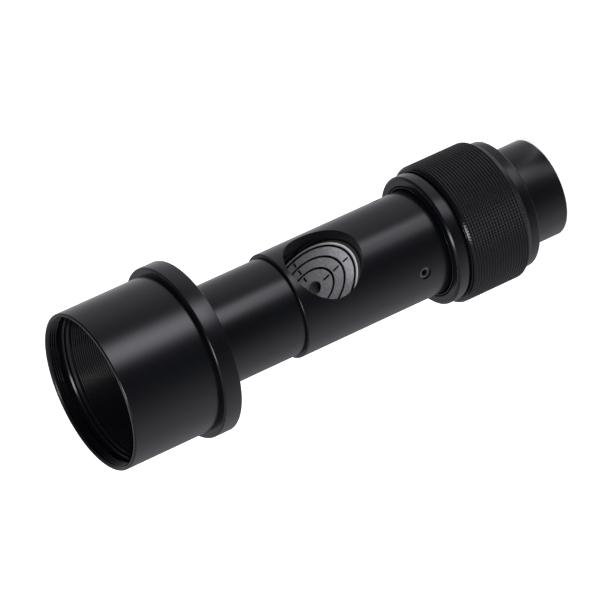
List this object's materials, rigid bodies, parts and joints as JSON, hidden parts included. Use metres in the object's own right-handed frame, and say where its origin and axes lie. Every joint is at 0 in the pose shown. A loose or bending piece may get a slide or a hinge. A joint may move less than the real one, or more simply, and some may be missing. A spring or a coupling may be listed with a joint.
{
  "type": "telescope collimator",
  "caption": "Telescope collimator with a wide barrel adapter on its nose, a side window on a ringed slanting target, and a knurled dial at the rear.",
  "frame": {"origin": "centre of the tail's end face, which the part stands on", "axes": "+Z along the optical axis towards the open front barrel, -Y towards the side window"},
  "size_m": [0.0554, 0.0554, 0.1643],
  "materials": {
    "black_anodised": "satin black anodised",
    "black_knurl": "matte black anodised, knurled",
    "target_metal": "finely turned, with black filled marks",
    "inner_ring": "black anodised",
    "laser_brass": "turned",
    "lens_glass": "polished and coated",
    "gold_contact": "plated",
    "screw_steel": "black oxide",
    "spring_steel": "plain",
    "board_green": "solder mask",
    "wire_red": "insulated wire",
    "black_plastic": "moulded",
    "black_rubber": "matte",
    "cell_steel": "plated"
  },
  "bodies": {
    "housing": {"two_inch_adapter": "black_anodised", "main_tube": "black_anodised", "target_block": "target_metal", "target_lock_ring": "inner_ring", "laser_barrel": "laser_brass", "collimating_lens": "lens_glass", "lens_retainer": "laser_brass", "laser_diode": "spring_steel", "driver_board": "board_green", "lead_wires": "wire_red", "adjusting_screws": "screw_steel", "pressure_ring": "black_rubber", "laser_retainer": "inner_ring", "board_spacer": "black_plastic", "switch_board": "board_green", "board_retainer": "inner_ring", "stop_pin": "spring_steel", "retaining_clip": "spring_steel", "drag_ring": "black_rubber"},
    "brightness_dial": {"battery_housing": "black_anodised", "knurled_grip": "black_knurl", "front_collar": "black_anodised", "contact_carrier": "black_plastic", "centre_pin": "gold_contact", "contact_pins": "gold_contact", "battery_cup": "black_plastic", "battery_rivet": "gold_contact", "battery_cell": "cell_steel", "battery_leaf": "spring_steel", "battery_cap": "black_anodised", "cap_seal": "black_rubber"}
  },
  "joints": [
    {"name": "dial_turn", "type": "hinge", "parent": "housing", "child": "brightness_dial", "pos_m": [0, 0, 0.0287], "axis": [0, 0, 1], "range_deg": [0, 280]}
  ]
}
